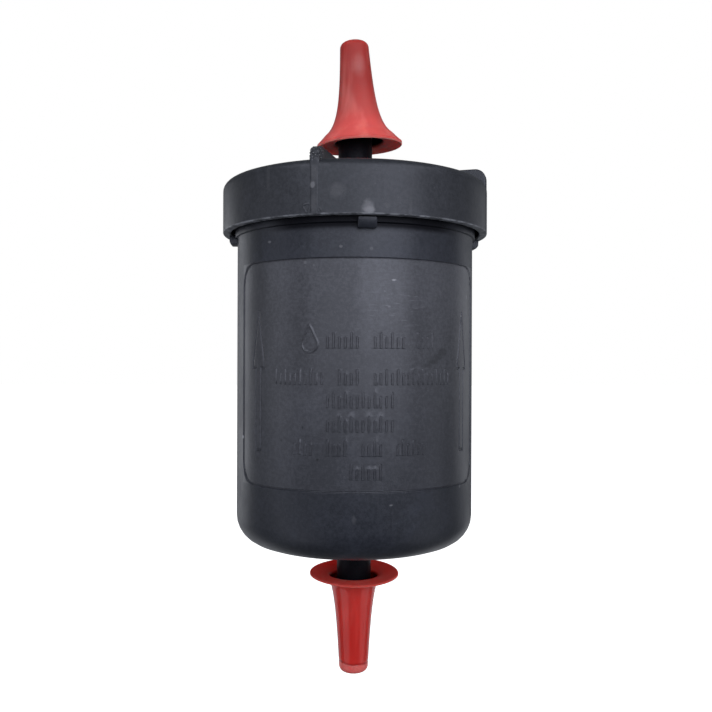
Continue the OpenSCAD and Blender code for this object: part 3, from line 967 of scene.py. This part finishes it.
# ---------------------------------------------------------------- build
# Rubbed spots, scratches and stains: heading in degrees, height and size in millimetres, stretch, tone
# and amount
POT_MARKS = [
    (-46, 28.0, 0.7, (1, 1, 0.5), 0.16, 0.45),
    (-11, 26.2, 0.5, (1, 1, 0.8), 0.14, 0.4),
    (2, 25.8, 0.5, (1, 1, 0.9), 0.12, 0.35),
    (-27, 23.2, 0.5, (1, 1, 1.0), 0.15, 0.4),
    (-23, 22.5, 0.4, (1, 1, 1.2), 0.15, 0.35),
    (12, 19.5, 0.7, (1, 1, 0.35), 0.35, 0.6),
    (8, 17.2, 0.4, (1, 1, 0.5), 0.2, 0.35),
    (10, 14.0, 0.5, (1, 1, 0.5), 0.2, 0.35),
    (54, 12.9, 0.5, (1, 1, 1.2), 0.4, 0.7),
    (61, 17.2, 0.4, (1, 1, 1.8), 0.3, 0.5),
    (38.5, 4.9, 2.0, (1, 1, 0.5), 0.01, 0.5),
    (35.5, 3.8, 2.2, (1, 1, 0.4), 0.01, 0.5),
    (32, 2.8, 2.0, (1, 1, 0.4), 0.01, 0.5),
    (28.5, 2.0, 1.8, (1, 1, 0.35), 0.01, 0.4),
    (-39, -13.7, 0.4, (1, 1, 1), 0.004, 0.7),
    (-28, -10.9, 0.35, (1, 1, 1.4), 0.004, 0.7),
    (-21, -17.4, 0.5, (1, 1, 0.8), 0.002, 0.9),
    (-69, -14.0, 0.35, (1, 1, 1.5), 0.4, 0.6),
    (-74, -21.0, 0.35, (1, 1, 1.5), 0.4, 0.5),
    (52, -24.4, 0.45, (1, 1, 1), 0.2, 0.35),
    (11, -26.6, 0.5, (1, 1, 0.5), 0.2, 0.35),
    (-5, -29.4, 0.6, (1, 1, 1.8), 0.1, 0.2),
]
LID_MARKS = [
    (0, 33.6, 2.0, (0.85, 1, 0.9), 0.16, 0.5),
    (0.4, 33.0, 1.5, (0.9, 1, 0.8), 0.22, 0.4),
    (-11.7, 36.9, 2.2, (1, 1, 1.0), 0.09, 0.3),
    (7, 34.0, 0.9, (1, 1, 0.8), 0.1, 0.2),
    (-21, 38.2, 0.7, (1, 1, 1.3), 0.16, 0.6),
    (-20.5, 40.5, 0.9, (1, 1, 3), 0.06, 0.4),
    (-20.5, 34.5, 0.8, (1, 1, 3), 0.06, 0.4),
]

pot_black = moulded_black(
    "pot_black", dark=(0.0085, 0.0098, 0.0145), light=(0.014, 0.0158, 0.0235),
    radius=BODY_R, marks=POT_MARKS, seed=0, panel=True,
)
lid_black = moulded_black(
    "lid_black", dark=(0.016, 0.0172, 0.021), light=(0.024, 0.0252, 0.031),
    radius=SKIRT_R, marks=LID_MARKS, seed=40, highlight_edge_z=SKIRT_LOW,
    grit=around(FIN_HEADING, 29.8 * MM, 45.2 * MM), shine=0.85,
)
glossy_red = cap_red(
    "cap_red_glossy", tip=(0.55, 0.021, 0.016), mouth=(0.78, 0.041, 0.032), glow=(1.0, 0.1, 0.085),
    rough=0.14, gloss=0.42,
)
# The outlet cap is a paler, greyer and rougher red than the inlet cap
pale_red = cap_red(
    "cap_red_pale", tip=(0.37, 0.034, 0.029), mouth=(0.74, 0.1, 0.09), glow=(1.0, 0.29, 0.26),
    rough=0.42, gloss=0.22, highlight_at=(0.8 * MM, -6.5 * MM, 72.2 * MM),
)

replace_node(make_pot(), pot_black, "housing", "filter")
replace_node(make_lid(), lid_black, "lid", "filter")

inlet = make_cap("transport_cap_inlet", INLET_CAP_LEN, FLAT_FLANGE, crease=True)
bend_flange(inlet, wave_mm=0.1, phase=0.9, front_mm=-0.35, back_mm=-0.8, lip_mm=0.35)
place_inlet_cap(inlet)
outlet = make_cap("transport_cap_outlet", OUTLET_CAP_LEN, TRUMPET, crease=False)
bend_flange(outlet, wave_mm=0.05, phase=2.1, front_mm=0.65, back_mm=0.5, lip_mm=0.85)
place_outlet_cap(outlet)
replace_node(inlet, glossy_red, "inlet_cap", "inlet_cap")
replace_node(outlet, pale_red, "outlet_cap", "outlet_cap")

# The sealed inner parts keep their CAD shapes
end_cap_dark = simple("end_cap_dark", (0.05, 0.05, 0.053), (0.085, 0.085, 0.09), 400, 0.5, 0.03)
potting_amber = simple("potting_amber", (0.5, 0.27, 0.06), (0.68, 0.42, 0.12), 350, 0.22, 0.04)
inner_looks = {
    "weld_bead": simple("weld_black", (0.008, 0.008, 0.009), (0.02, 0.02, 0.022), 900, 0.4, 0.1),
    "core_tube": simple("core_natural", (0.55, 0.52, 0.44), (0.64, 0.61, 0.52), 300, 0.45, 0.03),
    "pleated_media": simple(
        "filter_paper", (0.6, 0.47, 0.26), (0.74, 0.61, 0.37), 2400, 0.9, 0.05, stretch=(1, 1, 0.4),
    ),
    "seam_clip": simple(
        "clip_zinc", (0.5, 0.51, 0.53), (0.66, 0.67, 0.68), 1500, 0.32, 0.01,
        stretch=(1, 1, 0.05), metal=1.0,
    ),
    "lower_end_cap": end_cap_dark,
    "upper_end_cap": end_cap_dark,
    "lower_potting": potting_amber,
    "upper_potting": potting_amber,
    "outlet_o_ring": simple(
        "seal_rubber", (0.012, 0.012, 0.012), (0.022, 0.022, 0.023), 1200, 0.55, 0.01,
    ),
}
for node, material in inner_looks.items():
    dress(frame["nodes"][node], material)

# ---------------------------------------------------------------- floor, light and camera
ROOM_LIGHT = 0.17
LIGHT_TINT = (0.93, 0.95, 1.0)
FLOOR_HALF = 4.0
FLOOR_DROP = 45 * MM
# Soft boxes: name, azimuth and elevation in degrees, distance, size and power
LIGHTS = [
    ("key", 24, 18, 0.52, (0.42, 0.42), 1.5),
    ("fill", -20, 18, 0.52, (0.5, 0.42), 1.0),
    ("high_right", 50, 42, 0.9, (0.5, 0.4), 1.0),
    ("high_left", -50, 42, 0.9, (0.5, 0.4), 1.4),
    ("side_left", -80, 0, 0.9, (0.5, 0.45), 0.65),
    ("side_right", 72, 0, 0.9, (0.45, 0.45), 0.35),
    ("rim_left", -138, 0, 0.9, (0.45, 0.45), 0.7),
    ("rim_right", 124, 0, 0.9, (0.45, 0.45), 0.35),
    ("low_left", -60, -31, 0.4, (0.28, 0.26), 0.15),
    ("low_right", 64, -31, 0.4, (0.28, 0.26), 0.12),
    ("table_left", -142, -42, 0.14, (0.09, 0.09), 0.012),
    ("table_right", 142, -42, 0.14, (0.09, 0.09), 0.014),
]
# The camera's place and lens are fitted to the photograph's perspective and framing
CAMERA_HEADING = math.radians(-5)
CAMERA_DISTANCE = 192.3 * MM
CAMERA_HEIGHT = 2.5 * MM
CAMERA_ROLL = math.radians(0.2)
SENSOR_MM, LENS_MM = 36.0, 41.03
CAMERA_SHIFT = (0.0021, 0.0096)


def make_floor():
    """A pale floor below the filter, low enough for the inlet cap to be pulled off."""
    half, z = FLOOR_HALF, inlet_low.z - FLOOR_DROP
    corners = [(-half, -half, z), (half, -half, z), (half, half, z), (-half, half, z)]
    floor = finished("floor", corners, [(0, 1, 2, 3)])
    m = Nodes("floor_pale")
    m.set(Base_Color=m.mix(m.noise(6, 3.0), (0.93, 0.93, 0.93), (0.96, 0.96, 0.96)))
    m.set(Roughness=0.8, Emission_Color=(1, 1, 1, 1), Emission_Strength=1.0)
    dress(floor, m.material)
    floor.visible_diffuse = floor.visible_glossy = floor.visible_shadow = False


def make_light(name, azimuth, elevation, distance, size, power):
    """A soft box that looks at the origin, from an azimuth counted from the front towards +X."""
    data = bpy.data.lights.new(name, "AREA")
    data.shape = "RECTANGLE"
    data.size, data.size_y = size
    data.energy = power
    data.color = LIGHT_TINT
    light = bpy.data.objects.new(name, data)
    light.visible_camera = False
    a, e = math.radians(azimuth), math.radians(elevation)
    away = Vector((math.sin(a) * math.cos(e), -math.cos(a) * math.cos(e), math.sin(e)))
    light.location = away * distance
    light.rotation_mode = "QUATERNION"
    light.rotation_quaternion = away.to_track_quat("Z", "Y")
    bpy.context.scene.collection.objects.link(light)


def make_world():
    """White to the camera, and a dim even studio to everything else."""
    world = bpy.data.worlds.new("studio")
    world.use_nodes = True
    tree = world.node_tree
    backdrop = tree.nodes["Background"]
    backdrop.inputs["Color"].default_value = (1, 1, 1, 1)
    room = tree.nodes.new("ShaderNodeBackground")
    room.inputs["Color"].default_value = (0.9, 0.95, 1.0, 1)
    room.inputs["Strength"].default_value = ROOM_LIGHT
    path = tree.nodes.new("ShaderNodeLightPath")
    mix = tree.nodes.new("ShaderNodeMixShader")
    for a, b in (
        (path.outputs["Is Camera Ray"], mix.inputs["Fac"]),
        (room.outputs[0], mix.inputs[1]),
        (backdrop.outputs[0], mix.inputs[2]),
        (mix.outputs[0], tree.nodes["World Output"].inputs[0]),
    ):
        tree.links.new(a, b)
    bpy.context.scene.world = world


def make_camera():
    """Level, just above the origin's height and a little to the left of the panel's middle."""
    data = bpy.data.cameras.new("camera")
    data.sensor_width = SENSOR_MM
    data.lens = LENS_MM
    data.shift_x, data.shift_y = CAMERA_SHIFT
    data.clip_start, data.clip_end = 0.01, 20
    camera = bpy.data.objects.new("camera", data)
    back = Vector((math.sin(CAMERA_HEADING), -math.cos(CAMERA_HEADING), 0))
    camera.location = back * CAMERA_DISTANCE + Vector((0, 0, CAMERA_HEIGHT))
    camera.rotation_mode = "QUATERNION"
    roll = Matrix.Rotation(CAMERA_ROLL, 4, back)
    camera.rotation_quaternion = (roll @ back.to_track_quat("Z", "Y").to_matrix().to_4x4()).to_quaternion()
    bpy.context.scene.collection.objects.link(camera)
    bpy.context.scene.camera = camera


make_floor()
make_world()
for light in LIGHTS:
    make_light(*light)
make_camera()
bpy.context.scene.view_settings.view_transform = "Standard"
